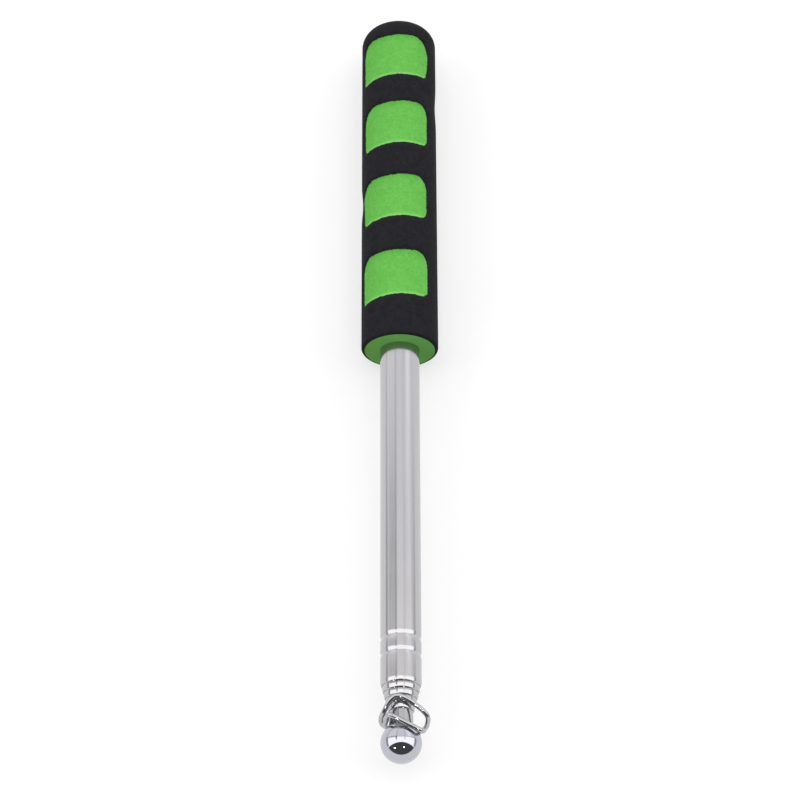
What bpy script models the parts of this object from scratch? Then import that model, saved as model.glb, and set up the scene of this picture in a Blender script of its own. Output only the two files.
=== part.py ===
"""Telescopic hand pole: foam grip, six nested steel tubes, a ball tip and a loose wire ring.

Units are metres. The pole lies along Y, pushed together, with the ball towards -Y.
Every piece is turned about its own Z axis and hangs on one empty that lays the pole down,
so a place along the pole is a distance from the butt end of the grip.
"""
import math

import bmesh
import bpy
from mathutils import Vector

# Foam grip: a green core inside a black skin with a closed, rounded butt
GRIP_LENGTH = 0.1158
GRIP_DIAMETER = 0.0235
SKIN_THICKNESS = 0.0010
BUTT_EDGE_RADIUS = 0.0061
FRONT_EDGE_RADIUS = 0.0008
GLUE_LINE = 0.00005

# Finger windows, ground through the skin on the upper side
WINDOW_COUNT = 4
WINDOW_FIRST = 0.0075
WINDOW_LENGTH = 0.0154
WINDOW_PITCH = 0.0263
WINDOW_SPAN = math.radians(122)
WINDOW_TURN = math.radians(-10)
WINDOW_BUTT_CORNER = 0.0048
WINDOW_TIP_CORNER = 0.0020

# Nested tubes, numbered 1 (outer) to SECTION_COUNT (the neck)
SECTION_COUNT = 6
TUBE_DIAMETER = 0.0120
TUBE_WALL = 0.00026
TUBE_INSET = 0.0085
TUBE_LENGTH = 0.2163
LIP_STEP = 0.0019
LIP_LENGTH = 0.0016
LIP_LAND = 0.0003
LIP_CLEARANCE = 0.00006

# Two grooves rolled into the outer tube behind its lip
GROOVE_COUNT = 2
GROOVE_FROM_LIP = 0.0145
GROOVE_PITCH = 0.0050
GROOVE_WIDTH = 0.0022
GROOVE_DEPTH = 0.00018

# What slides and stops inside
SLEEVE_THICKNESS = 0.00012
SLEEVE_CLEARANCE = 0.00006
SLEEVE_LENGTH = 0.0132
SLEEVE_SPLIT = math.radians(50)
BEAD_WIDTH = 0.0010
BEAD_HEIGHT = 0.00012
RING_FLANGE = 0.0010
RING_SPIGOT = 0.00065
RING_LAND = 0.0012
PLUG_HEAD = 0.0012
PLUG_SPIGOT = 0.0050
SEAT_GAP = 0.00003
REST_GAP = 0.0003

# Ball tip on its neck
NECK_LENGTH = 0.0044
BALL_DIAMETER = 0.0120
STUD_LENGTH = 0.0070
INSERT_LENGTH = 0.0090
INSERT_WALL = 0.0012

# Wire ring round the neck, seated behind the ball where it stands this far off the neck.
# Its bends are listed in steps of RING_SPREAD.
WIRE_DIAMETER = 0.0015
RING_STAND_OFF = 0.0023
RING_SPREAD = 0.0010
WIRE_STEPS = 4

# Facets round a turned piece
GRIP_FACETS = 24
TUBE_FACETS = 32
ARC_STEPS = 5

GRIP_RADIUS = GRIP_DIAMETER / 2
CORE_RADIUS = GRIP_RADIUS - SKIN_THICKNESS - GLUE_LINE
BALL_RADIUS = BALL_DIAMETER / 2
RUNNING_GAP = SLEEVE_THICKNESS + 2 * SLEEVE_CLEARANCE
SECTION_STEP = TUBE_WALL + RUNNING_GAP


def tube_radius(section):
    return TUBE_DIAMETER / 2 - (section - 1) * SECTION_STEP


def tube_bore(section):
    return tube_radius(section) - TUBE_WALL


def tube_front(section):
    return TUBE_INSET + TUBE_LENGTH + (section - 1) * LIP_STEP


PLUG_REAR = TUBE_INSET - SEAT_GAP - PLUG_HEAD
PLUG_FRONT = TUBE_INSET - SEAT_GAP + PLUG_SPIGOT
REAR_STEP = RING_SPIGOT + REST_GAP + RING_FLANGE


def tube_rear(section):
    return PLUG_FRONT + REST_GAP + RING_FLANGE + SEAT_GAP + (section - 2) * REAR_STEP


NECK_RADIUS = tube_radius(SECTION_COUNT)
BALL_SEAT = tube_front(SECTION_COUNT - 1) + NECK_LENGTH
SEAT_DEPTH = math.sqrt(BALL_RADIUS ** 2 - NECK_RADIUS ** 2)
BALL_CENTRE = BALL_SEAT + SEAT_DEPTH
POLE_LENGTH = BALL_CENTRE + BALL_RADIUS
AXIS_HEIGHT = GRIP_RADIUS * math.cos(math.pi / GRIP_FACETS)


def clear_scene():
    for old in list(bpy.data.objects):
        bpy.data.objects.remove(old)


def finish(obj, colour, roughness, metallic):
    """Give a piece its own material."""
    material = bpy.data.materials.new(obj.name + "_finish")
    material.use_nodes = True
    shader = material.node_tree.nodes["Principled BSDF"]
    shader.inputs["Base Color"].default_value = (*colour, 1)
    shader.inputs["Roughness"].default_value = roughness
    shader.inputs["Metallic"].default_value = metallic
    obj.data.materials.append(material)


def place(name, data, pole, along):
    """Hang a piece on the pole's axis, at a distance from the butt end."""
    obj = bpy.data.objects.new(name, data)
    bpy.context.scene.collection.objects.link(obj)
    obj.parent = pole
    obj.location = (0, 0, along)
    return obj


def mesh_from(bm, name):
    merge_distance = 1e-7
    bmesh.ops.remove_doubles(bm, verts=bm.verts, dist=merge_distance)
    bmesh.ops.recalc_face_normals(bm, faces=bm.faces)
    mesh = bpy.data.meshes.new(name)
    bm.to_mesh(mesh)
    bm.free()
    mesh.shade_smooth()
    mesh.set_sharp_from_angle(angle=math.radians(35))
    return mesh


def turn(name, profile, facets, pole, along, closed=True):
    """Turn a profile of (radius, height) points about the axis, with a flat facet underneath."""
    bm = bmesh.new()
    half_facet = math.pi / facets
    verts = []
    for radius, height in profile:
        verts.append(bm.verts.new((radius * math.cos(half_facet), radius * math.sin(half_facet), height)))
    edges = [bm.edges.new(pair) for pair in zip(verts, verts[1:])]
    if closed:
        edges.append(bm.edges.new((verts[-1], verts[0])))
    bmesh.ops.spin(bm, geom=verts + edges, axis=(0, 0, 1), cent=(0, 0, 0),
                   angle=2 * math.pi, steps=facets, use_merge=True)
    return place(name, mesh_from(bm, name), pole, along)


def arc(centre, radii, start, end, steps=ARC_STEPS):
    """Points of a quarter ellipse in a profile, at angles from the radial direction."""
    points = []
    for step in range(steps + 1):
        angle = start + (end - start) * step / steps
        points.append((centre[0] + radii[0] * math.cos(angle), centre[1] + radii[1] * math.sin(angle)))
    return points


def rounded_butt(inset):
    """The rounded end of the grip, a given depth below its surface, from the axis to the side."""
    centre = (GRIP_RADIUS - BUTT_EDGE_RADIUS, BUTT_EDGE_RADIUS)
    radius = BUTT_EDGE_RADIUS - inset
    return [(0, inset)] + arc(centre, (radius, radius), -math.pi / 2, 0)


def window_cutter(name, start, pole):
    """A curved block that removes one finger window from the skin."""
    inner = GRIP_RADIUS - 2 * SKIN_THICKNESS
    outer = GRIP_RADIUS + SKIN_THICKNESS
    corner = max(WINDOW_BUTT_CORNER, WINDOW_TIP_CORNER)
    half_width = GRIP_RADIUS * WINDOW_SPAN / 2
    edge_depths = [corner * (1 - math.cos(step * math.pi / 2 / ARC_STEPS)) for step in range(ARC_STEPS + 1)]
    left = [-half_width + depth for depth in edge_depths]
    middle_steps = 10
    middle_width = 2 * (half_width - corner)
    middle = [corner - half_width + middle_width * step / middle_steps for step in range(1, middle_steps)]
    right = [-across for across in reversed(left)]

    def corner_rise(radius, depth):
        short = radius - min(depth, radius)
        return radius - math.sqrt(radius ** 2 - short ** 2)

    bm = bmesh.new()
    rows = []
    for across in left + middle + right:
        depth = half_width - abs(across)
        low = start + corner_rise(WINDOW_BUTT_CORNER, depth)
        high = start + WINDOW_LENGTH - corner_rise(WINDOW_TIP_CORNER, depth)
        angle = WINDOW_TURN + across / GRIP_RADIUS
        row = []
        for radius, height in ((inner, low), (outer, low), (outer, high), (inner, high)):
            row.append(bm.verts.new((radius * math.sin(angle), radius * math.cos(angle), height)))
        rows.append(row)
    for row, after in zip(rows, rows[1:]):
        for side in range(4):
            bm.faces.new((row[side], row[side - 1], after[side - 1], after[side]))
    bm.faces.new(rows[0])
    bm.faces.new(rows[-1])
    cutter = place(name, mesh_from(bm, name), pole, 0)
    cutter.hide_render = True
    cutter.display_type = "WIRE"
    return cutter


def make_grip(pole):
    """Black skin with its windows, and the green core that fills it."""
    lining = GRIP_RADIUS - SKIN_THICKNESS
    front_edge = arc((GRIP_RADIUS - FRONT_EDGE_RADIUS, GRIP_LENGTH - FRONT_EDGE_RADIUS),
                     (FRONT_EDGE_RADIUS, FRONT_EDGE_RADIUS), 0, math.pi / 2, 3)
    skin = rounded_butt(0) + front_edge + [(lining, GRIP_LENGTH)] + rounded_butt(SKIN_THICKNESS)[::-1]
    sleeve = turn("grip_sleeve", skin, GRIP_FACETS, pole, 0, closed=False)
    finish(sleeve, (0.021, 0.021, 0.024), 0.9, 0)
    for number in range(WINDOW_COUNT):
        cut = sleeve.modifiers.new(f"window_{number + 1}", "BOOLEAN")
        cut.object = window_cutter(f"window_cutter_{number + 1}", WINDOW_FIRST + number * WINDOW_PITCH, pole)
        cut.operation = "DIFFERENCE"

    bore = (TUBE_DIAMETER / 2 + GLUE_LINE) / math.cos(math.pi / GRIP_FACETS)
    bore_end = PLUG_REAR - GLUE_LINE
    outside = rounded_butt(SKIN_THICKNESS + GLUE_LINE) + [(CORE_RADIUS, GRIP_LENGTH)]
    core = turn("grip_core", outside + [(bore, GRIP_LENGTH), (bore, bore_end), (0, bore_end)],
                GRIP_FACETS, pole, 0, closed=False)
    finish(core, (0.15, 0.6, 0.1), 0.85, 0)


def lip(section, length):
    """A rolled front end: the outside rounds over and the bore closes on the next tube."""
    outer = tube_radius(section)
    inner = tube_radius(section + 1) + LIP_CLEARANCE
    outside = arc((inner, length - LIP_LENGTH), (outer - inner, LIP_LENGTH), 0, math.pi / 2)
    return outside + [(inner, length - LIP_LAND), (tube_bore(section), length - LIP_LENGTH)]


def groove(radius, centre):
    """A shallow rolled groove, as profile points from front to rear."""
    half = GROOVE_WIDTH / 2
    return [(radius, centre + half), (radius - GROOVE_DEPTH, centre + half / 2),
            (radius - GROOVE_DEPTH, centre - half / 2), (radius, centre - half)]


def make_outer_tube(pole):
    """The tube that the grip holds, with its grooves, and the plug in its rear end."""
    bore = tube_bore(1)
    outside_grooves = []
    inside_grooves = []
    for number in range(GROOVE_COUNT):
        centre = TUBE_LENGTH - GROOVE_FROM_LIP + number * GROOVE_PITCH
        outside_grooves += groove(tube_radius(1), centre)[::-1]
        inside_grooves = groove(bore, centre) + inside_grooves
    profile = [(bore, 0), (tube_radius(1), 0)] + outside_grooves + lip(1, TUBE_LENGTH) + inside_grooves
    tube = turn("outer_tube", profile, TUBE_FACETS, pole, TUBE_INSET)
    finish(tube, (0.54, 0.54, 0.55), 0.28, 1)

    spigot = bore - SEAT_GAP
    head = PLUG_HEAD
    whole = PLUG_HEAD + PLUG_SPIGOT
    rim = tube_radius(1)
    profile = [(0, 0), (rim, 0), (rim, head), (spigot, head), (spigot, whole), (0, whole)]
    plug = turn("butt_plug", profile, TUBE_FACETS, pole, PLUG_REAR, closed=False)
    finish(plug, (0.75, 0.74, 0.7), 0.5, 0)


def bead(section):
    """A rolled bead that traps the friction sleeve, as profile points from rear to front."""
    start = 2 * REST_GAP + SLEEVE_LENGTH
    radius = tube_radius(section)
    quarter = BEAD_WIDTH / 4
    return [(radius, start), (radius + BEAD_HEIGHT, start + quarter),
            (radius + BEAD_HEIGHT, start + 3 * quarter), (radius, start + BEAD_WIDTH)]


def make_inner_tube(section, pole):
    """One sliding tube. The last has a plain front end for the ball, the others a rolled lip."""
    rear = tube_rear(section)
    bore = tube_bore(section)
    profile = [(bore, 0), (tube_radius(section), 0)] + bead(section)
    if section < SECTION_COUNT:
        profile += lip(section, tube_front(section) - rear)
    else:
        length = BALL_SEAT - SEAT_GAP - rear
        profile += [(tube_radius(section), length), (bore, length)]
    tube = turn(f"stage_{section}_tube", profile, TUBE_FACETS, pole, rear)
    finish(tube, (0.55, 0.55, 0.56), 0.18, 1)


def make_stop_ring(section, pole):
    """Brass ring in the rear of a sliding tube. Its flange traps the sleeve, its nose stops the next ring."""
    flange = tube_bore(section - 1) - SLEEVE_CLEARANCE
    spigot = tube_bore(section) - SEAT_GAP
    hole = tube_bore(section) - RING_LAND
    whole = RING_FLANGE + RING_SPIGOT
    profile = [(hole, 0), (flange, 0), (flange, RING_FLANGE)]
    profile += [(spigot, RING_FLANGE), (spigot, whole), (hole, whole)]
    rear = tube_rear(section) - SEAT_GAP - RING_FLANGE
    ring = turn(f"stage_{section}_stop_ring", profile, TUBE_FACETS, pole, rear)
    finish(ring, (0.72, 0.5, 0.2), 0.35, 1)


def make_friction_sleeve(section, pole):
    """Split bronze sleeve between a sliding tube and the tube outside it."""
    inner = tube_radius(section) + SLEEVE_CLEARANCE
    outer = inner + SLEEVE_THICKNESS
    start = math.pi / 2 + SLEEVE_SPLIT / 2
    sweep = 2 * math.pi - SLEEVE_SPLIT
    bm = bmesh.new()
    corners = []
    for radius, height in ((inner, 0), (outer, 0), (outer, SLEEVE_LENGTH), (inner, SLEEVE_LENGTH)):
        corners.append(bm.verts.new((radius * math.cos(start), radius * math.sin(start), height)))
    section_face = bm.faces.new(corners)
    bmesh.ops.spin(bm, geom=[section_face], axis=(0, 0, 1), cent=(0, 0, 0),
                   angle=sweep, steps=math.ceil(TUBE_FACETS * sweep / (2 * math.pi)))
    name = f"stage_{section}_friction_sleeve"
    sleeve = place(name, mesh_from(bm, name), pole, tube_rear(section) + REST_GAP)
    finish(sleeve, (0.6, 0.34, 0.16), 0.4, 1)


def make_tip(pole):
    """The ball with its stud, and the threaded insert that the stud screws into."""
    insert = tube_bore(SECTION_COUNT) - SEAT_GAP
    hole = insert - INSERT_WALL
    stud = hole - SEAT_GAP
    seat_angle = math.atan2(-SEAT_DEPTH, NECK_RADIUS)
    ball = [(0, -SEAT_DEPTH - STUD_LENGTH), (stud, -SEAT_DEPTH - STUD_LENGTH), (stud, -SEAT_DEPTH)]
    ball += arc((0, 0), (BALL_RADIUS, BALL_RADIUS), seat_angle, math.pi / 2, 3 * ARC_STEPS)
    tip = turn("tip_ball", ball, TUBE_FACETS, pole, BALL_CENTRE, closed=False)
    finish(tip, (0.55, 0.55, 0.58), 0.05, 1)

    profile = [(hole, 0), (insert, 0), (insert, INSERT_LENGTH), (hole, INSERT_LENGTH)]
    socket = turn("tip_insert", profile, TUBE_FACETS, pole, BALL_SEAT - SEAT_GAP - INSERT_LENGTH)
    finish(socket, (0.72, 0.5, 0.2), 0.35, 1)


def smooth_path(points, steps):
    """Points along a Catmull-Rom curve through the given ones."""
    ends = [2 * points[0] - points[1]] + points + [2 * points[-1] - points[-2]]
    path = []
    for before, start, end, after in zip(ends, ends[1:], ends[2:], ends[3:]):
        for step in range(steps):
            t = step / steps
            path.append(0.5 * (2 * start + (end - before) * t
                               + (2 * before - 5 * start + 4 * end - after) * t ** 2
                               + (3 * start - before - 3 * end + after) * t ** 3))
    return path + [points[-1]]


def make_flag_ring(pole):
    """Wire bent by hand to nearly two turns round the neck."""
    # Each bend: degrees round from straight up, stand-off from the neck, place ahead of the ring's seat
    bends = [
        (-140, 1.2, -1.45), (-105, 1.18, -1.6), (-62, 1.3, -2.1), (-31, 2.75, -2.6), (13, 2.3, -0.18),
        (51, 3.65, 1.75), (81, 3.0, 0.65), (131, 2.25, -0.45), (177, 1.9, -1.5), (224, 3.0, -2.6),
        (259, 2.4, -3.15), (296, 2.1, -4.35), (330, 2.5, -7.1), (354, 2.75, -8.0), (399, 2.05, -6.5),
        (435, 4.0, -3.8), (459, 4.05, -2.1), (485, 4.05, -1.25), (516, 4.3, -1.15),
    ]
    points = []
    for degrees, stand_off, ahead in bends:
        angle = math.radians(degrees)
        radius = NECK_RADIUS + stand_off * RING_SPREAD
        points.append(Vector((radius * math.sin(angle), radius * math.cos(angle), ahead * RING_SPREAD)))
    path = smooth_path(points, WIRE_STEPS)
    curve = bpy.data.curves.new("flag_ring", "CURVE")
    curve.dimensions = "3D"
    curve.bevel_depth = WIRE_DIAMETER / 2
    curve.bevel_resolution = 2
    curve.use_fill_caps = True
    spline = curve.splines.new("POLY")
    spline.points.add(len(path) - 1)
    for point, where in zip(spline.points, path):
        point.co = (*where, 1)
    seat_radius = NECK_RADIUS + RING_STAND_OFF
    reach = BALL_RADIUS + WIRE_DIAMETER / 2 + REST_GAP
    ring = place("flag_ring", curve, pole, BALL_CENTRE - math.sqrt(reach ** 2 - seat_radius ** 2))
    finish(ring, (0.54, 0.54, 0.56), 0.1, 1)


clear_scene()
pole_axis = bpy.data.objects.new("pole_axis", None)
bpy.context.scene.collection.objects.link(pole_axis)
pole_axis.location = (0, POLE_LENGTH / 2, AXIS_HEIGHT)
pole_axis.rotation_euler = (math.pi / 2, 0, 0)

make_grip(pole_axis)
make_outer_tube(pole_axis)
for sliding in range(2, SECTION_COUNT + 1):
    make_inner_tube(sliding, pole_axis)
    make_stop_ring(sliding, pole_axis)
    make_friction_sleeve(sliding, pole_axis)
make_tip(pole_axis)
make_flag_ring(pole_axis)
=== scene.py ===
"""Looks of a telescopic hand pole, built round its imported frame.

Units are metres. The pole lies along Y with the ball towards -Y, and a place along it is a
distance from the butt end of the grip.
"""
import math

import bpy
from mathutils import Euler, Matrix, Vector, noise


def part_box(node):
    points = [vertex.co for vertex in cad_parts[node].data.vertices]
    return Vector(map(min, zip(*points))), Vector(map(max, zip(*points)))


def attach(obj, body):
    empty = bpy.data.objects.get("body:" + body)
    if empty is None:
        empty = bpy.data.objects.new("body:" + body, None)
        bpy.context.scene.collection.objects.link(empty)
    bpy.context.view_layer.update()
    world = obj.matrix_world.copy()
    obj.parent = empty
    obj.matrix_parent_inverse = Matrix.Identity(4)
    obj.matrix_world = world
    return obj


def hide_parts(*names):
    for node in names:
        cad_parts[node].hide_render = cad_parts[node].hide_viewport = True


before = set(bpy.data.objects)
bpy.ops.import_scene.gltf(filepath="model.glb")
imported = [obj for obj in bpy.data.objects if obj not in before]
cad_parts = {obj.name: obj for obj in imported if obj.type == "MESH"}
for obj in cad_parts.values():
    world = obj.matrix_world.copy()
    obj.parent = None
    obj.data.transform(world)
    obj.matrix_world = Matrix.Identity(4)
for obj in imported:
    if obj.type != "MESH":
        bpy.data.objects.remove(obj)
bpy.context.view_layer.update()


# Outer tube. Thin stainless tube, drawn and left satin, with two grooves rolled in near its
# front end and the end itself rolled over, so that the next tube can't be pulled out of it.
butt_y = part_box("grip_sleeve")[1].y
axis_z = (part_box("outer_tube")[0].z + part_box("outer_tube")[1].z) / 2
ROUND_STEPS = 128
CREASE = math.radians(40)
MERGE_DISTANCE = 1e-7
TUBE_WALL = 0.00026
TUBE_STEP = 0.0005
OUTER_RADIUS = 0.0060
LIP_LENGTH = 0.0016
LIP_CLEARANCE = 0.00006
LIP_LAND = 0.0003
LIP_STEPS = 16
GROOVE_DEPTH = 0.00022
GROOVE_WIDTH = 0.0024
GROOVE_STEPS = 16
GROOVES_FROM_LIP = (0.0145, 0.0095)
# Marks on drawn steel: their sizes across the tube, and how far the lengthwise ones are drawn out
LINE_SIZE = 0.00018
BAND_SIZE = 0.0011
SMEAR_SIZE = 0.014
WARM_SIZE = 0.0035
LINE_STRETCH = (1, 0.012, 1)
WARM_STRETCH = (1, 0.02, 1)
WARM_STEEL = (0.545, 0.52, 0.525)


def from_butt(y):
    return butt_y - y


def turned(name, profile, closed=True, steps=ROUND_STEPS):
    """Draw a profile of (distance from butt, radius) points as a chain of edges and spin it
    round the pole."""
    bpy.ops.object.select_all(action="DESELECT")
    bpy.ops.mesh.primitive_plane_add(size=0.001)
    piece = bpy.context.object
    piece.name = name
    piece.data.name = name
    bpy.ops.object.mode_set(mode="EDIT")
    bpy.ops.mesh.merge(type="CENTER")
    start = profile[0]
    bpy.ops.transform.translate(value=(0, butt_y - start[0], axis_z + start[1]))
    path = profile + [start] if closed else profile
    for here, there in zip(path, path[1:]):
        step = (0, here[0] - there[0], there[1] - here[1])
        bpy.ops.mesh.extrude_region_move(TRANSFORM_OT_translate={"value": step})
    bpy.ops.mesh.select_all(action="SELECT")
    bpy.ops.mesh.remove_doubles(threshold=MERGE_DISTANCE)
    bpy.ops.mesh.spin(steps=steps, angle=2 * math.pi, center=(0, 0, axis_z), axis=(0, 1, 0))
    bpy.ops.mesh.select_all(action="SELECT")
    bpy.ops.mesh.remove_doubles(threshold=MERGE_DISTANCE)
    bpy.ops.mesh.normals_make_consistent(inside=False)
    bpy.ops.object.mode_set(mode="OBJECT")
    bpy.ops.object.shade_smooth_by_angle(angle=CREASE)
    return piece


def tube_radius(section):
    return OUTER_RADIUS - (section - 1) * TUBE_STEP


def rolled_lip(section, front):
    """The rolled end of a tube: rounded outside, a short land on the next tube, then the bore."""
    outer = tube_radius(section)
    inner = tube_radius(section + 1) + LIP_CLEARANCE
    points = []
    for step in range(LIP_STEPS + 1):
        turn = math.pi / 2 * step / LIP_STEPS
        along = front - LIP_LENGTH + LIP_LENGTH * math.sin(turn)
        points.append((along, inner + (outer - inner) * math.cos(turn)))
    return points + [(front - LIP_LAND, inner), (front - LIP_LENGTH, outer - TUBE_WALL)]


def rolled_groove(centre, radius):
    """A shallow groove with a soft round bottom."""
    points = []
    for step in range(GROOVE_STEPS + 1):
        along = step / GROOVE_STEPS - 0.5
        depth = GROOVE_DEPTH * math.cos(math.pi * along) ** 2
        points.append((centre + along * GROOVE_WIDTH, radius - depth))
    return points


def named(sockets, name):
    return next(socket for socket in sockets if name in (socket.identifier, socket.name))


class Value:
    """A shader value. Arithmetic on it adds Math nodes, and node() adds any other node beside it."""

    def __init__(self, socket):
        self.socket = socket

    def node(self, kind, settings, sockets, output=0):
        node = self.socket.id_data.nodes.new(kind)
        for setting, value in settings.items():
            setattr(node, setting, value)
        for key, value in sockets.items():
            target = node.inputs[key] if isinstance(key, int) else named(node.inputs, key)
            if isinstance(value, Value):
                value.to(target)
            else:
                target.default_value = value
        return Value(node.outputs[output] if isinstance(output, int) else named(node.outputs, output))

    def to(self, target):
        self.socket.id_data.links.new(self.socket, target)

    def math(self, operation, *values):
        return self.node("ShaderNodeMath", {"operation": operation}, dict(enumerate(values)))

    def __add__(self, other):
        return self.math("ADD", self, other)

    def __radd__(self, other):
        return self.math("ADD", other, self)

    def __sub__(self, other):
        return self.math("SUBTRACT", self, other)

    def __rsub__(self, other):
        return self.math("SUBTRACT", other, self)

    def __mul__(self, other):
        return self.math("MULTIPLY", self, other)

    def __rmul__(self, other):
        return self.math("MULTIPLY", other, self)


def new_finish(name):
    """A fresh material: itself, its Principled shader and the piece's own coordinates."""
    material = bpy.data.materials.new(name)
    material.use_nodes = True
    nodes = material.node_tree.nodes
    place = Value(nodes.new("ShaderNodeTexCoord").outputs["Object"])
    return material, nodes["Principled BSDF"], place


def stretched(place, scale):
    return place.node("ShaderNodeMapping", {}, {"Vector": place, "Scale": scale})


def grain(place, size, detail=3.0, rough=0.55):
    """Even noise from 0 to 1, with lumps of about the given size."""
    sockets = {"Vector": place, "Scale": 1 / size, "Detail": detail, "Roughness": rough}
    return place.node("ShaderNodeTexNoise", {}, sockets)


def mixed(factor, first, second):
    """One of two colours, or a blend."""
    sockets = {"Factor_Float": factor, "A_Color": first, "B_Color": second}
    return factor.node("ShaderNodeMix", {"data_type": "RGBA"}, sockets, "Result_Color")


def above(value, edge, soft):
    """0 below an edge and 1 above it, with a soft step between."""
    return value.node("ShaderNodeMapRange", {"interpolation_type": "SMOOTHSTEP"},
                      {"Value": value, "From Min": edge - soft, "From Max": edge + soft})


def raised(shader, height, depth, strength):
    bump = height.node("ShaderNodeBump", {}, {"Height": height, "Distance": depth, "Strength": strength})
    bump.to(shader.inputs["Normal"])


def drawn_steel(name, dark, light, roughness, spread, line_depth):
    """Steel with the fine lengthwise lines that drawing leaves."""
    material, shader, place = new_finish(name)
    lengthwise = stretched(place, LINE_STRETCH)
    lines = grain(lengthwise, LINE_SIZE, 4, 0.65)
    bands = grain(lengthwise, BAND_SIZE, 2)
    smears = grain(place, SMEAR_SIZE, 3)
    steel = mixed(lines * 0.55 + bands * 0.45, (*dark, 1), (*light, 1))
    warm = grain(stretched(place, WARM_STRETCH), WARM_SIZE, 1)
    mixed(0.5 * above(warm, 0.58, 0.06), steel, (*WARM_STEEL, 1)).to(shader.inputs["Base Color"])
    (roughness + spread * (lines - 0.5) + spread * (smears - 0.5)).to(shader.inputs["Roughness"])
    raised(shader, lines + 0.6 * bands, line_depth, 0.5)
    shader.inputs["Metallic"].default_value = 1
    return material


def dress(piece, material, slot, body, *nodes):
    """Finish a piece and let it stand for its solids in the frame."""
    piece.data.materials.clear()
    piece.data.materials.append(material)
    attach(piece, body)
    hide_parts(*nodes)


tube_rear = from_butt(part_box("outer_tube")[1].y)
tube_front = from_butt(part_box("outer_tube")[0].y)
bore = OUTER_RADIUS - TUBE_WALL
tube_profile = [(tube_rear, bore), (tube_rear, OUTER_RADIUS)]
bore_profile = []
for distance in GROOVES_FROM_LIP:
    tube_profile += rolled_groove(tube_front - distance, OUTER_RADIUS)
    bore_profile = rolled_groove(tube_front - distance, bore)[::-1] + bore_profile
tube_profile += rolled_lip(1, tube_front) + bore_profile
outer_tube = turned("outer_tube_drawn", tube_profile)
satin_steel = drawn_steel("satin_steel", dark=(0.44, 0.436, 0.457), light=(0.56, 0.554, 0.575),
                          roughness=0.16, spread=0.07, line_depth=0.000003)
dress(outer_tube, satin_steel, "satin_steel", "grip", "outer_tube")


# Inner tubes. Five polished stainless tubes that slide one inside the other. Each has a rolled
# bead at the rear and a rolled lip at the front, except the last, which is plain for the ball.
LAST_SECTION = 6
BEAD_WIDTH = 0.0010
BEAD_HEIGHT = 0.00012
BEAD_FROM_REAR = 0.0138
BEAD_STEPS = 8
inner_sections = range(2, LAST_SECTION + 1)
polished_steel = drawn_steel("polished_steel", dark=(0.43, 0.43, 0.445), light=(0.52, 0.52, 0.53),
                             roughness=0.07, spread=0.04, line_depth=0.0000012)
for section in inner_sections:
    node = f"stage_{section}_tube"
    rear = from_butt(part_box(node)[1].y)
    front = from_butt(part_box(node)[0].y)
    radius = tube_radius(section)
    profile = [(rear, radius - TUBE_WALL), (rear, radius)]
    for step in range(BEAD_STEPS + 1):
        rise = BEAD_HEIGHT * math.sin(math.pi * step / BEAD_STEPS) ** 2
        profile.append((rear + BEAD_FROM_REAR + BEAD_WIDTH * step / BEAD_STEPS, radius + rise))
    if section < LAST_SECTION:
        profile += rolled_lip(section, front)
    else:
        profile += [(front, radius), (front, radius - TUBE_WALL)]
    inner_tube = turned(f"stage_{section}_tube_polished", profile)
    dress(inner_tube, polished_steel, "polished_steel", f"stage_{section}", node)


# Stop rings, friction sleeves and plug. Turned brass rings and split bronze sleeves at the rear
# of each inner tube, and a moulded nylon plug in the outer one. They are hidden inside.
TURNING_MARK = 0.00012
TARNISH_PATCH = 0.0015
NYLON_CLOUD = 0.0012


def turned_metal(name, dark, light, roughness):
    """Bare copper alloy with turning marks and a little tarnish."""
    material, shader, place = new_finish(name)
    marks = grain(stretched(place, (0.05, 1, 0.05)), TURNING_MARK, 3)
    tarnish = grain(place, TARNISH_PATCH, 4)
    mixed(tarnish * 0.7 + marks * 0.3, (*dark, 1), (*light, 1)).to(shader.inputs["Base Color"])
    (roughness + 0.25 * (tarnish - 0.5)).to(shader.inputs["Roughness"])
    raised(shader, marks, 0.000003, 0.5)
    shader.inputs["Metallic"].default_value = 1
    return material


brass = turned_metal("brass", dark=(0.55, 0.36, 0.12), light=(0.80, 0.58, 0.26), roughness=0.34)
bronze = turned_metal("bronze", dark=(0.44, 0.23, 0.10), light=(0.68, 0.41, 0.21), roughness=0.38)
nylon, nylon_shader, nylon_place = new_finish("nylon")
cloud = grain(nylon_place, NYLON_CLOUD, 4)
mixed(cloud, (0.68, 0.67, 0.62, 1), (0.80, 0.79, 0.75, 1)).to(nylon_shader.inputs["Base Color"])
(0.42 + 0.2 * cloud).to(nylon_shader.inputs["Roughness"])
raised(nylon_shader, cloud, 0.00002, 0.3)
for section in inner_sections:
    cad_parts[f"stage_{section}_stop_ring"].material_slots[0].material = brass
    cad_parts[f"stage_{section}_friction_sleeve"].material_slots[0].material = bronze
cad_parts["butt_plug"].material_slots[0].material = nylon


# Foam grip. Closed-cell foam in two colours: a green core with a black skin on it, pushed on to
# the tube. Four finger windows are ground through the skin, so the green shows flush in them.
GRIP_RADIUS = 0.01175
GRIP_LENGTH = 0.1158
GRIP_STEPS = 208
GRIP_ROWS = 250
BUTT_STEPS = 24
FRONT_STEPS = 8
SKIN = 0.00045
FRONT_SKIN = 0.0010
BUTT_ROUNDING = 0.0061
FRONT_ROUNDING = 0.0009
FOAM_CREASE = math.radians(35)
SLIVER = 1e-6
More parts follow.
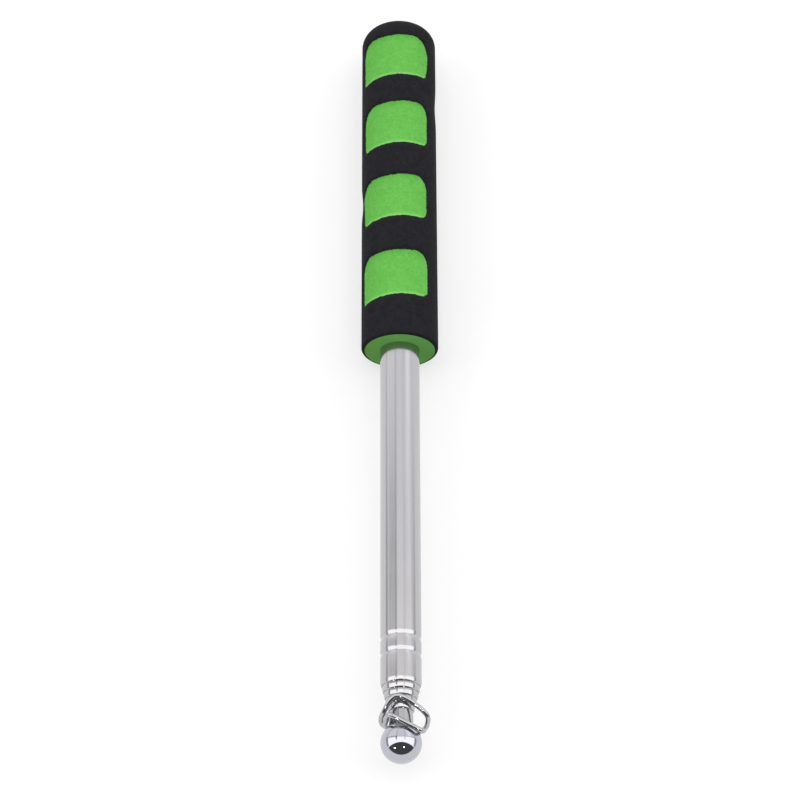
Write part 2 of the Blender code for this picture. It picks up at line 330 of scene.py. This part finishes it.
# Each window: its ends along the grip, its sides in degrees round from straight up, the radii of
# its corners, left and right, at the butt end and at the tip end, and how far its right side
# turns in at the tip end
WINDOWS = (((0.0077, 0.0229), (-71.5, 54), (0.0052, 0.0066), (0.0012, 0.0012), 0.0013),
           ((0.0327, 0.0482), (-69, 51.5), (0.0062, 0.0048), (0.0019, 0.0024), 0.0002),
           ((0.0596, 0.0747), (-71.5, 48.5), (0.0058, 0.0048), (0.0021, 0.0027), 0.0001),
           ((0.0865, 0.1022), (-73.5, 50), (0.0054, 0.0050), (0.0015, 0.0024), 0.0002))
TIP_EDGE_SKEW = 0.0010
BUTT_EDGE_SKEW = 0.0009
SHOULDER = 0.0011
# How much deeper a window is ground towards its middle, and how far in most of that is reached
HOLLOW = 0.0004
HOLLOW_REACH = 0.0010
# Unevenness of the grinding, fine and coarse: size of the lumps and their height
RAGGED = ((0.0005, 0.00007), (0.0016, 0.00005))
# Shallow dents in the sides: place along the grip, degrees round, reach and depth
DENTS = ((0.0650, -92, 0.0075, 0.0004), (0.0293, 92, 0.0085, 0.0003))
# The depth that a full vertex weight stands for, more than any that is ground away
GRIND_DEPTH = 0.0015
# Marks in the foam: their sizes
MOTTLE_SIZE = 0.0026
FINE_SIZE = 0.0009
CELL_SIZE = 0.00055
# Painted light on the green foam: painted shade as a darker band from a window's start, a painted
# highlight as a paler one at its end,
# and paler painted light on the front end: the bands' edges with the softness of each, and how far the
# colour goes over
PAINTED_SHADE_GREEN = (0.090, 0.400, 0.050)
PAINTED_SHADE_FROM = (-0.001, 0.0005)
PAINTED_SHADE_TO = (0.0014, 0.0012)
PAINTED_SHADE_SHARE = 0.30
PAINTED_LIGHT_GREEN = (0.300, 0.720, 0.190)
PAINTED_HIGHLIGHT_FROM = (-0.0009, 0.0005)
PAINTED_HIGHLIGHT_TO = (0.002, 0.0005)
PAINTED_HIGHLIGHT_SHARE = 0.55
LIT_FRONT_DEPTH = 0.0006
LIT_FRONT_SOFT = 0.0003
LIT_FRONT_SHARE = 0.5
# Torn skin along a window's edge
TORN_SKIN = (0.012, 0.014, 0.013)
TORN_DEPTH = 0.0003
TORN_SIZE = 0.0005
# The core narrows between these distances from the front, and its blank and the way that is cut
# for the tube run out past it
CORE_BUTT_STEPS = 16
TAPER_START = 0.009
TAPER_END = 0.003
CORE_OVERRUN = 0.002
WAY_OVERRUN = 0.003
WAY_CLEARANCE = 0.00004
PLUG_CLEARANCE = 0.00005


def rounded_end(inset, steps):
    """The round butt end, a given depth below the surface, from the axis to the side."""
    centre = GRIP_RADIUS - BUTT_ROUNDING
    radius = BUTT_ROUNDING - inset
    points = [(inset, 0), (inset, centre / 2)]
    for step in range(steps + 1):
        turn = math.pi / 2 * step / steps
        points.append((BUTT_ROUNDING - radius * math.cos(turn), centre + radius * math.sin(turn)))
    return points


def outside_window(across, along, half_width, half_length, butt_corners, tip_corners, turn_in):
    """Distance from a window's edge, less than 0 inside. Lengths run across and along the grip
    from the window's middle."""
    skew = TIP_EDGE_SKEW if along > 0 else BUTT_EDGE_SKEW
    along += skew * across / (2 * half_width) * abs(along) / half_length
    corners = tip_corners if along > 0 else butt_corners
    corner = corners[0] if across < 0 else corners[1]
    if across > 0 and along > 0:
        across += turn_in * (along / half_length) ** 2
    beyond_side = abs(across) - half_width + corner
    beyond_end = abs(along) - half_length + corner
    outside = math.hypot(max(beyond_side, 0), max(beyond_end, 0))
    return outside + min(max(beyond_side, beyond_end), 0) - corner


def ground_away(point):
    """How deep the grinding goes at a point of the grip's surface."""
    along = butt_y - point.y
    angle = math.atan2(point.x, point.z - axis_z)
    ragged = sum(height * noise.noise(point / size) for size, height in RAGGED)
    depth = 0
    for ends, sides, *corners, turn_in in WINDOWS:
        half_length = (ends[1] - ends[0]) / 2
        from_middle = along - (ends[1] + ends[0]) / 2
        half_width = GRIP_RADIUS * math.radians(sides[1] - sides[0]) / 2
        across = GRIP_RADIUS * (angle - math.radians(sides[1] + sides[0]) / 2)
        edge = outside_window(across, from_middle, half_width, half_length, *corners, turn_in)
        if edge < 0:
            depth = max(depth, SKIN + ragged + HOLLOW * (1 - math.exp(edge / HOLLOW_REACH)))
        else:
            depth = max(depth, (SKIN + ragged) * max(0, 1 - edge / SHOULDER) ** 2)
    for place, turn, reach, dent in DENTS:
        away = math.hypot(along - place, GRIP_RADIUS * (angle - math.radians(turn)) / 2)
        depth += dent * math.cos(min(away / reach, 1) * math.pi / 2) ** 2
    return depth


def ground_billet(name):
    """A solid blank of the whole grip with the finger windows ground into it."""
    barrel = rounded_end(0, BUTT_STEPS)
    side_end = GRIP_LENGTH - FRONT_ROUNDING
    for row in range(1, GRIP_ROWS + 1):
        barrel.append((BUTT_ROUNDING + (side_end - BUTT_ROUNDING) * row / GRIP_ROWS, GRIP_RADIUS))
    for step in range(1, FRONT_STEPS + 1):
        turn = math.pi / 2 * step / FRONT_STEPS
        barrel.append((side_end + FRONT_ROUNDING * math.sin(turn),
                       GRIP_RADIUS - FRONT_ROUNDING * (1 - math.cos(turn))))
    barrel.append((GRIP_LENGTH, 0))
    billet = turned(name, barrel, closed=False, steps=GRIP_STEPS)
    group = billet.vertex_groups.new(name="ground")
    for vertex in billet.data.vertices:
        depth = ground_away(vertex.co)
        if depth > 0:
            group.add([vertex.index], depth / GRIND_DEPTH, "REPLACE")
    grind = billet.modifiers.new("grind", "DISPLACE")
    grind.vertex_group = "ground"
    grind.mid_level = 0
    grind.strength = -GRIND_DEPTH
    bpy.ops.object.modifier_apply(modifier="grind")
    return billet


def cut(piece, tool, operation):
    """Cut a piece with another, and merge the slivers that are left along the cut."""
    bpy.ops.object.select_all(action="DESELECT")
    bpy.context.view_layer.objects.active = piece
    piece.select_set(True)
    modifier = piece.modifiers.new("cut", "BOOLEAN")
    modifier.object = tool
    modifier.operation = operation
    bpy.ops.object.modifier_apply(modifier="cut")
    bpy.ops.object.mode_set(mode="EDIT")
    bpy.ops.mesh.select_all(action="SELECT")
    bpy.ops.mesh.remove_doubles(threshold=SLIVER)
    bpy.ops.object.mode_set(mode="OBJECT")
    bpy.ops.object.shade_smooth_by_angle(angle=FOAM_CREASE)


def spread_out(value, lowest, highest):
    """Values between two levels, spread to run from 0 to 1."""
    return value.node("ShaderNodeMapRange", {}, {"Value": value, "From Min": lowest, "From Max": highest})


def foam(name, dark, light, speck):
    """Ground foam: fine cut cells, softly mottled, with a matt face."""
    material, shader, place = new_finish(name)
    mottle = grain(place, MOTTLE_SIZE, 4, 0.6)
    fine = grain(place, FINE_SIZE, 4, 0.7)
    cells = place.node("ShaderNodeTexVoronoi", {}, {"Vector": place, "Scale": 1 / CELL_SIZE}, "Distance")
    shade = spread_out(mottle * 0.4 + fine * 0.6, 0.32, 0.68)
    pits = spread_out(cells, 0.05, 0.5)
    colour = mixed(0.65 + 0.35 * pits, (*speck, 1), mixed(shade, (*dark, 1), (*light, 1)))
    colour.to(shader.inputs["Base Color"])
    (0.88 + 0.12 * (fine - 0.5)).to(shader.inputs["Roughness"])
    raised(shader, 0.6 * fine + 0.4 * cells, 0.00012, 0.6)
    shader.inputs["Specular IOR Level"].default_value = 0.15
    return material, shader, place, colour


def painted_window_light_and_torn_skin(shader, place, colour):
    """Painted light on the green: a darker band of painted shade where each window starts, a paler
    painted highlight where it ends and paler painted light on the front end, with torn black skin left
    along each window's edge."""
    side = place.node("ShaderNodeSeparateXYZ", {}, {"Vector": place}, "X")
    along = butt_y - Value(side.socket.node.outputs["Y"])
    height = Value(side.socket.node.outputs["Z"]) - axis_z
    angle = side.math("ARCTAN2", side, height)
    for ends, sides, *_ in WINDOWS:
        middle = math.radians(sides[0] + sides[1]) / 2
        width = math.radians(sides[1] - sides[0])
        to_side = (angle - middle) * (1 / width)
        from_start = along + BUTT_EDGE_SKEW * to_side - ends[0]
        from_end = along + TIP_EDGE_SKEW * to_side - ends[1]
        # Painted shade darkens the start of each window, and a painted highlight lightens its end
        painted_shade = above(from_start, *PAINTED_SHADE_FROM) - above(from_start, *PAINTED_SHADE_TO)
        painted_highlight = above(from_end, *PAINTED_HIGHLIGHT_FROM) - above(from_end, *PAINTED_HIGHLIGHT_TO)
        colour = mixed(painted_shade * PAINTED_SHADE_SHARE, colour, (*PAINTED_SHADE_GREEN, 1))
        colour = mixed(painted_highlight * PAINTED_HIGHLIGHT_SHARE, colour, (*PAINTED_LIGHT_GREEN, 1))
    # Painted light lightens the front end face of the grip
    painted_front_light = above(along, GRIP_LENGTH - LIT_FRONT_DEPTH, LIT_FRONT_SOFT)
    colour = mixed(painted_front_light * LIT_FRONT_SHARE, colour, (*PAINTED_LIGHT_GREEN, 1))
    below_skin = GRIP_RADIUS - SKIN - side.math("SQRT", side * side + height * height)
    uneven = TORN_DEPTH * (grain(place, TORN_SIZE, 4, 0.7) - 0.5)
    torn = above(below_skin + uneven, TORN_DEPTH / 6, TORN_DEPTH / 24)
    mixed(torn, (*TORN_SKIN, 1), colour).to(shader.inputs["Base Color"])


core_side = GRIP_RADIUS - SKIN
core_front = GRIP_RADIUS - FRONT_SKIN
core_blank_profile = rounded_end(SKIN, CORE_BUTT_STEPS)
core_blank_profile += [(GRIP_LENGTH - TAPER_START, core_side), (GRIP_LENGTH - TAPER_END, core_front)]
core_blank_profile += [(GRIP_LENGTH + CORE_OVERRUN, core_front), (GRIP_LENGTH + CORE_OVERRUN, 0)]
core_blank = turned("core_blank", core_blank_profile, closed=False, steps=GRIP_STEPS)
way_end = from_butt(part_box("butt_plug")[1].y) - PLUG_CLEARANCE
way_front = GRIP_LENGTH + WAY_OVERRUN
way_radius = OUTER_RADIUS + WAY_CLEARANCE
way_profile = [(way_end, 0), (way_end, way_radius), (way_front, way_radius), (way_front, 0)]
tube_way = turned("tube_way", way_profile, closed=False)
grip_core = ground_billet("grip_core_foam")
cut(grip_core, core_blank, "INTERSECT")
cut(grip_core, tube_way, "DIFFERENCE")
green_foam, *green_nodes = foam("green_foam", dark=(0.119, 0.462, 0.066), light=(0.183, 0.602, 0.110),
                                speck=(0.080, 0.352, 0.045))
painted_window_light_and_torn_skin(*green_nodes)
dress(grip_core, green_foam, "green_foam", "grip", "grip_core")

grip_sleeve = ground_billet("grip_sleeve_foam")
cut(grip_sleeve, core_blank, "DIFFERENCE")
black_foam, *_ = foam("black_foam", dark=(0.0085, 0.0085, 0.0115), light=(0.0235, 0.0235, 0.028),
                      speck=(0.006, 0.006, 0.008))
dress(grip_sleeve, black_foam, "black_foam", "grip", "grip_sleeve")
bpy.data.objects.remove(core_blank)
bpy.data.objects.remove(tube_way)


# Flag ring. A length of bright plated wire, bent by hand to nearly two turns and hooked round
# the neck, where it hangs loose behind the ball.
WIRE_RADIUS = 0.00075
WIRE_ROUND_STEPS = 5
WIRE_END_ROUNDING = 0.00018
WIRE_END_STEPS = 3
NECK_RADIUS = tube_radius(LAST_SECTION)
BALL_RADIUS = 0.0060
RING_STAND_OFF = 0.0023
RING_CLEARANCE = 0.0003
BEND_STEPS = 10
PLATING_PATCH = 0.0009
PITTING_SIZE = 0.00016
# Each bend: degrees round from straight up, stand-off from the neck and place ahead of the seat,
# in millimetres
BENDS = (
    (-140, 1.2, -1.45), (-105, 1.18, -1.6), (-62, 1.3, -2.1), (-31, 2.75, -2.6), (13, 2.3, -0.18),
    (51, 3.65, 1.75), (81, 3.0, 0.65), (131, 2.25, -0.45), (177, 1.9, -1.5), (224, 3.0, -2.6),
    (259, 2.4, -3.15), (296, 2.1, -4.35), (330, 2.5, -7.1), (354, 2.75, -8.0), (399, 2.05, -6.5),
    (435, 4.0, -3.8), (459, 4.05, -2.1), (485, 4.05, -1.25), (516, 4.3, -1.15),
)
ball_centre = from_butt(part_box("tip_ball")[0].y) - BALL_RADIUS
reach = BALL_RADIUS + WIRE_RADIUS + RING_CLEARANCE
seat = ball_centre - math.sqrt(reach ** 2 - (NECK_RADIUS + RING_STAND_OFF) ** 2)
bend_points = []
for degrees, stand_off, ahead in BENDS:
    turn = math.radians(degrees)
    radius = NECK_RADIUS + stand_off / 1000
    ring_y = butt_y - seat - ahead / 1000
    bend_points.append(Vector((radius * math.sin(turn), ring_y, axis_z + radius * math.cos(turn))))
ends = [2 * bend_points[0] - bend_points[1]] + bend_points + [2 * bend_points[-1] - bend_points[-2]]
wire_path = []
for before, here, there, after in zip(ends, ends[1:], ends[2:], ends[3:]):
    for step in range(BEND_STEPS):
        t = step / BEND_STEPS
        wire_path.append(0.5 * (2 * here + (there - before) * t
                                + (2 * before - 5 * here + 4 * there - after) * t ** 2
                                + (3 * here - before - 3 * there + after) * t ** 3))
wire_path.append(bend_points[-1])
bpy.ops.object.select_all(action="DESELECT")
bpy.ops.curve.primitive_nurbs_path_add()
flag_ring = bpy.context.object
flag_ring.name = "flag_ring_wire"
wire = flag_ring.data
wire.splines.clear()
spline = wire.splines.new("POLY")
spline.points.add(len(wire_path) - 1)
for point, place in zip(spline.points, wire_path):
    point.co = (*place, 1)
wire.bevel_depth = WIRE_RADIUS
wire.bevel_resolution = WIRE_ROUND_STEPS
wire.use_fill_caps = True
bpy.ops.object.convert(target="MESH")
bpy.ops.object.mode_set(mode="EDIT")
bpy.ops.mesh.select_all(action="SELECT")
bpy.ops.mesh.remove_doubles(threshold=MERGE_DISTANCE)
bpy.ops.mesh.normals_make_consistent(inside=False)
bpy.ops.mesh.select_all(action="DESELECT")
bpy.ops.object.mode_set(mode="OBJECT")
for face in flag_ring.data.polygons:
    face.select = len(face.vertices) > 4
bpy.ops.object.mode_set(mode="EDIT")
bpy.ops.mesh.bevel(offset=WIRE_END_ROUNDING, segments=WIRE_END_STEPS)
bpy.ops.object.mode_set(mode="OBJECT")
bpy.ops.object.shade_smooth_by_angle(angle=CREASE)

ring_chrome, ring_shader, ring_place = new_finish("ring_chrome")
plating = grain(ring_place, PLATING_PATCH, 3)
pitting = grain(ring_place, PITTING_SIZE, 2)
mixed(plating, (0.41, 0.41, 0.43, 1), (0.50, 0.50, 0.52, 1)).to(ring_shader.inputs["Base Color"])
(0.07 + 0.08 * (plating - 0.5)).to(ring_shader.inputs["Roughness"])
raised(ring_shader, pitting, 0.000004, 0.35)
ring_shader.inputs["Metallic"].default_value = 1
dress(flag_ring, ring_chrome, "ring_chrome", "ring", "flag_ring")


# Ball tip. A turned ball with a stud behind it, polished to a mirror, screwed into a threaded
# brass insert in the last tube.
BALL_STEPS = 64
STUD_LENGTH = 0.0070
STUD_RADIUS = 0.00198
HAZE_PATCH = 0.0018
SCUFF_SIZE = 0.00025
seat_depth = math.sqrt(BALL_RADIUS ** 2 - NECK_RADIUS ** 2)
seat_turn = math.acos(seat_depth / BALL_RADIUS)
ball_rear = ball_centre - seat_depth
stud_end = ball_rear - STUD_LENGTH
ball_profile = [(stud_end, 0), (stud_end, STUD_RADIUS), (ball_rear, STUD_RADIUS)]
for step in range(BALL_STEPS + 1):
    turn = seat_turn + (math.pi - seat_turn) * step / BALL_STEPS
    ball_profile.append((ball_centre - BALL_RADIUS * math.cos(turn), BALL_RADIUS * math.sin(turn)))
tip_ball = turned("tip_ball_mirror", ball_profile, closed=False)
mirror_chrome, ball_shader, ball_place = new_finish("mirror_chrome")
haze = grain(ball_place, HAZE_PATCH, 4)
scuffs = grain(stretched(ball_place, (1, 0.2, 0.6)), SCUFF_SIZE, 4)
mixed(haze, (0.455, 0.455, 0.505, 1), (0.525, 0.525, 0.58, 1)).to(ball_shader.inputs["Base Color"])
(0.045 + 0.04 * (haze - 0.5) + 0.03 * (scuffs - 0.5)).to(ball_shader.inputs["Roughness"])
raised(ball_shader, scuffs, 0.000002, 0.2)
ball_shader.inputs["Metallic"].default_value = 1
dress(tip_ball, mirror_chrome, "mirror_chrome", "stage_6", "tip_ball")
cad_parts["tip_insert"].material_slots[0].material = brass


# Table. A wide matt white board just under the pole. It shows white to the camera and in the
# metal, and keeps the pole's shadow.
TABLE_SIZE = 6
TABLE_TOP = -0.0002
TABLE_GREY = (0.43, 0.43, 0.43, 1)
TABLE_GLOW = (0.61, 0.61, 0.61, 1)
bpy.ops.object.select_all(action="DESELECT")
bpy.ops.mesh.primitive_plane_add(size=TABLE_SIZE, location=(0, 0, TABLE_TOP))
table = bpy.context.object
table.name = "table"
table_white, table_shader, _ = new_finish("table_white")
seen = Value(table_white.node_tree.nodes.new("ShaderNodeLightPath").outputs["Is Camera Ray"])
rays = seen.socket.node.outputs
for other_ray in ("Is Glossy Ray", "Is Transmission Ray"):
    seen = seen.math("MAXIMUM", seen, Value(rays[other_ray]))
mixed(seen, (0, 0, 0, 1), TABLE_GLOW).to(table_shader.inputs["Emission Color"])
table_shader.inputs["Emission Strength"].default_value = 1
table_shader.inputs["Base Color"].default_value = TABLE_GREY
table_shader.inputs["Roughness"].default_value = 0.95
table_shader.inputs["Specular IOR Level"].default_value = 0
table.data.materials.append(table_white)


# Light tent. A bright panel overhead, paler cloth behind and at the sides, a dark opening in
# front, where the camera stands, and two small lamps beside it.
CEILING_LIGHT = 1.85
OPENING_LIGHT = 0.09
RIM_LIGHT = 0.50
RIGHT_RIM_LIGHT = 0.72
HIGH_RIM_LIGHT = 0.35
TABLE_LIGHT = 0.95
LAMP_LIGHT = 28
# The cloth behind: the light of its left and right halves, and what a streak and the far sides
# add, low down and higher up
LEFT_CLOTH = (0.64, 1.16)
RIGHT_CLOTH = (1.0, 1.08)
STREAK = (0.08, 0.36)
FAR_LEFT = (0.22, 0.0)
FAR_RIGHT = (-0.22, -0.04)
# Where these lie: from and to in degrees of lean to the right, and the softness of both sides
RIGHT_HALF_SPAN = (-22, 200, 2)
STREAK_SPAN = (38, 54, 9)
FAR_LEFT_SPAN = (-200, -67, 4)
FAR_RIGHT_SPAN = (66, 200, 6)
# Two seams: from and to in degrees of lean to the right, and the share of light left on the
# ceiling and on the cloth
SEAMS = ((-31, -22, 0.25, 0.75), (16, 24, 0.65, 0.88))
SEAM_SOFT = 1
# Edges of the tent's parts, each with its softness: how far round the front goes, in degrees, and
# how far back, right or up the others are, as parts of a direction of length 1. The opening's
# edge comes forward at its sides, and the rim drops at the rear
FRONT_EDGE = (72, 4)
HIGH_CLOTH_EDGE = (0.392, 0.022)
CEILING_EDGE = (0.28, 0.02)
CEILING_SEAM_EDGE = (0.05, 0.15)
OPENING_EDGE = (-0.22, 0.02)
OPENING_BOW = 0.16
REAR_EDGE = (0.3, 0.03)
RIGHT_EDGE = (0, 0.1)
RIM_EDGE = (0.24, 0.03)
REAR_RIM_DROP = 0.07
TABLE_EDGE = (0.085, 0.012)
# Each lamp: its direction and its radius in degrees
LAMPS = (((-0.576, -0.628, 0.524), 1.9), ((0.255, -0.658, 0.708), 2.8))
LAMP_SOFT = 0.0005
world = bpy.data.worlds.new("tent")
bpy.context.scene.world = world
world.use_nodes = True
backdrop = world.node_tree.nodes["Background"]
looking = Value(world.node_tree.nodes.new("ShaderNodeTexCoord").outputs["Generated"])
across = looking.node("ShaderNodeSeparateXYZ", {}, {"Vector": looking}, "X")
away = Value(across.socket.node.outputs["Y"])
up = Value(across.socket.node.outputs["Z"])


def over(light, mask, layer):
    return light + mask * (layer - light)


bearing = up.math("ABSOLUTE", up.math("ARCTAN2", across, -1 * away))
lean = up.math("ARCTAN2", across, up)
in_front = 1 - above(bearing, *map(math.radians, FRONT_EDGE))
high = above(away, *HIGH_CLOTH_EDGE)


def between(first, last, soft):
    """1 between two degrees of lean to the right, and 0 outside them."""
    past_first = above(lean, math.radians(first), math.radians(soft))
    return past_first - above(lean, math.radians(last), math.radians(soft))


def from_low_to_high(levels):
    return over(levels[0], high, levels[1])


cloth = over(from_low_to_high(LEFT_CLOTH), between(*RIGHT_HALF_SPAN), from_low_to_high(RIGHT_CLOTH))
for span, levels in ((STREAK_SPAN, STREAK), (FAR_LEFT_SPAN, FAR_LEFT), (FAR_RIGHT_SPAN, FAR_RIGHT)):
    cloth = cloth + between(*span) * from_low_to_high(levels)
ceiling = CEILING_LIGHT
for first, last, ceiling_share, cloth_share in SEAMS:
    seam = between(first, last, SEAM_SOFT)
    ceiling = ceiling * (1 - (1 - ceiling_share) * seam * above(away, *CEILING_SEAM_EDGE))
    cloth = cloth * (1 - (1 - cloth_share) * seam)
light = over(cloth, 1 - above(away, *CEILING_EDGE), ceiling)
light = over(light, 1 - above(away + OPENING_BOW * across * across, *OPENING_EDGE), OPENING_LIGHT)
to_rear = above(away, *REAR_EDGE)
to_right = above(across, *RIGHT_EDGE)
rim = RIM_LIGHT + (RIGHT_RIM_LIGHT - RIM_LIGHT) * to_right * to_rear + HIGH_RIM_LIGHT * high
light = over(light, (1 - above(up + REAR_RIM_DROP * to_rear, *RIM_EDGE)) * (1 - in_front), rim)
light = over(light, (1 - above(up, *TABLE_EDGE)) * in_front, TABLE_LIGHT)
for direction, radius in LAMPS:
    sockets = {0: looking, 1: direction}
    facing = looking.node("ShaderNodeVectorMath", {"operation": "DOT_PRODUCT"}, sockets, "Value")
    light = over(light, above(facing, math.cos(math.radians(radius)), LAMP_SOFT), LAMP_LIGHT)
to_camera = Value(world.node_tree.nodes.new("ShaderNodeLightPath").outputs["Is Camera Ray"])
over(light, to_camera, 1).to(backdrop.inputs["Color"])


# Camera. It stands high in front of the ball and looks down along the pole, with a long lens,
# so that the grip is at the top of the picture.
LENS = 122
SENSOR_WIDTH = 36
VIEW_ANGLE = math.radians(63.5)
VIEW_DISTANCE = 0.820
VIEW_ROLL = math.radians(-0.21)
AIM_FROM_BUTT = 0.1326
camera = bpy.data.objects.new("camera", bpy.data.cameras.new("camera"))
bpy.context.scene.collection.objects.link(camera)
bpy.context.scene.camera = camera
camera.data.lens = LENS
camera.data.sensor_width = SENSOR_WIDTH
aim = Vector((0, butt_y - AIM_FROM_BUTT, axis_z))
camera.location = aim + VIEW_DISTANCE * Vector((0, -math.cos(VIEW_ANGLE), math.sin(VIEW_ANGLE)))
turn_down = Euler((math.pi / 2 - VIEW_ANGLE, 0, 0)).to_quaternion()
camera.rotation_euler = (turn_down @ Euler((0, 0, VIEW_ROLL)).to_quaternion()).to_euler()
bpy.context.scene.view_settings.view_transform = "Standard"
